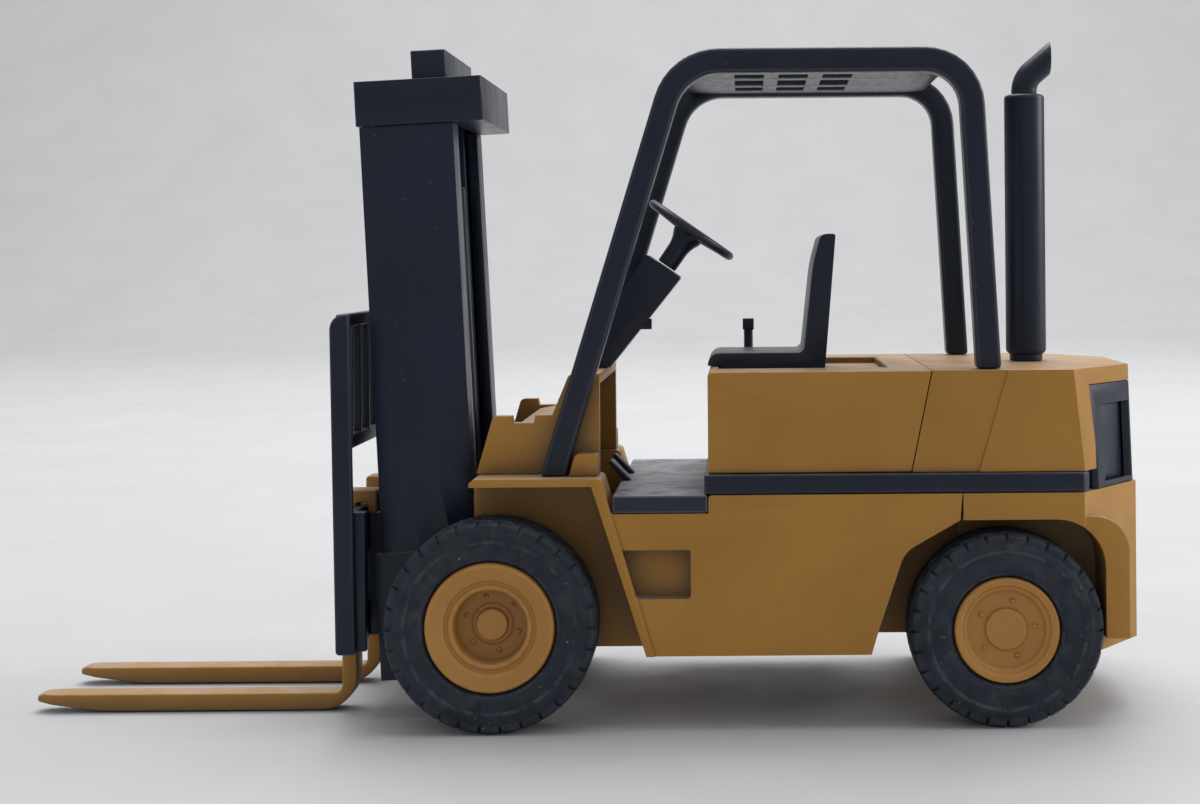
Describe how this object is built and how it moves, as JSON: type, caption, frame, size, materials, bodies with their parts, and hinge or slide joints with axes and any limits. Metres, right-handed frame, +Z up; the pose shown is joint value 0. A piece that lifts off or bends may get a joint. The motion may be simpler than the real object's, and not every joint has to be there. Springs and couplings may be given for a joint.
{
  "type": "toy forklift",
  "caption": "Die-cast toy forklift with tilting two-stage mast, sliding forks, rolling wheels, overhead guard, seat, steering wheel and upright exhaust.",
  "frame": {"origin": "on the ground under the centre of the bounding box", "axes": "-X is forwards, the way the forks point; +Y is the driver's right; +Z is up"},
  "size_m": [0.147, 0.045, 0.0893],
  "materials": {
    "body_paint": "satin ochre-yellow enamel on die-cast zinc",
    "wheel_paint": "moulded orange-yellow plastic wheel centres",
    "black_plastic": "satin blue-black moulded plastic",
    "mast_black": "satin blue-black moulded plastic, slightly glossier on the rails",
    "floor_mat": "scuffed grey top on black plastic",
    "rubber": "soft dusty tyre rubber with tread blocks",
    "steel": "plain steel"
  },
  "bodies": {
    "truck": {"chassis_body": "body_paint", "base_plate": "black_plastic", "base_screw_front": "steel", "base_screw_rear": "steel", "counterweight": "body_paint", "belt_band": "black_plastic", "floor_plate": "floor_mat", "engine_hood": "body_paint", "rear_cowl": "body_paint", "radiator_grille": "black_plastic", "grille_core": "black_plastic", "dash_cowl": "body_paint", "brake_pedal": "black_plastic", "accelerator_pedal": "black_plastic", "steering_column": "black_plastic", "seat": "black_plastic", "control_lever": "black_plastic", "guard_hoop_left": "black_plastic", "guard_hoop_right": "black_plastic", "guard_roof": "black_plastic", "exhaust_muffler": "black_plastic", "exhaust_tip": "black_plastic", "rear_axle_carrier": "black_plastic", "mast_pin_left": "steel", "mast_pin_right": "steel", "tilt_barrel_left": "black_plastic", "tilt_barrel_right": "black_plastic"},
    "mast": {"outer_rail_left": "mast_black", "outer_rail_right": "mast_black", "outer_crosshead": "mast_black", "outer_lower_tie": "mast_black", "lift_barrel": "mast_black"},
    "inner_mast": {"inner_rail_left": "mast_black", "inner_rail_right": "mast_black", "inner_crosshead": "mast_black", "inner_lower_tie": "mast_black", "lift_rod": "steel"},
    "carriage": {"carriage": "mast_black", "load_backrest": "mast_black"},
    "left_fork": {"fork_left": "body_paint"},
    "right_fork": {"fork_right": "body_paint"},
    "front_wheels": {"front_axle": "steel", "front_rim_left": "wheel_paint", "front_rim_right": "wheel_paint", "front_tyre_left": "rubber", "front_tyre_right": "rubber"},
    "rear_wheels": {"rear_axle": "steel", "rear_rim_left": "wheel_paint", "rear_rim_right": "wheel_paint", "rear_tyre_left": "rubber", "rear_tyre_right": "rubber"},
    "steering_wheel": {"steering_wheel": "black_plastic"},
    "left_tilt_rod": {"tilt_rod_left": "steel"},
    "right_tilt_rod": {"tilt_rod_right": "steel"}
  },
  "joints": [
    {"name": "mast_tilt", "type": "hinge", "parent": "truck", "child": "mast", "pos_m": [-0.0165, 0, 0.012], "axis": [0, 1, 0], "range_deg": [0, 8]},
    {"name": "inner_mast_lift", "type": "slide", "parent": "mast", "child": "inner_mast", "axis": [-0.0471, 0, 0.9989], "range_m": [0, 0.045]},
    {"name": "carriage_lift", "type": "slide", "parent": "inner_mast", "child": "carriage", "axis": [-0.0471, 0, 0.9989], "range_m": [0, 0.05]},
    {"name": "left_fork_slide", "type": "slide", "parent": "carriage", "child": "left_fork", "axis": [0, -1, 0], "range_m": [-0.0045, 0.005]},
    {"name": "right_fork_slide", "type": "slide", "parent": "carriage", "child": "right_fork", "axis": [0, 1, 0], "range_m": [-0.0045, 0.005]},
    {"name": "front_wheels_roll", "type": "hinge", "parent": "truck", "child": "front_wheels", "pos_m": [-0.0111, 0, 0.0135], "axis": [0, 1, 0], "continuous": true},
    {"name": "rear_wheels_roll", "type": "hinge", "parent": "truck", "child": "rear_wheels", "pos_m": [0.0544, 0, 0.0124], "axis": [0, 1, 0], "continuous": true},
    {"name": "steering_wheel_turn", "type": "hinge", "parent": "truck", "child": "steering_wheel", "pos_m": [0.014, 0, 0.06375], "axis": [0.5736, 0, 0.8192], "continuous": true},
    {"name": "left_tilt_cylinder", "type": "slide", "parent": "truck", "child": "left_tilt_rod", "axis": [0.9481, 0, -0.3179], "range_m": [0, 0.00243]},
    {"name": "right_tilt_cylinder", "type": "slide", "parent": "truck", "child": "right_tilt_rod", "axis": [0.9481, 0, -0.3179], "range_m": [0, 0.00243]}
  ],
  "couplings": [
    {"joint": "left_tilt_cylinder", "follows": "mast_tilt", "m_per_rad": 0.01666},
    {"joint": "right_tilt_cylinder", "follows": "mast_tilt", "m_per_rad": 0.01666}
  ]
}
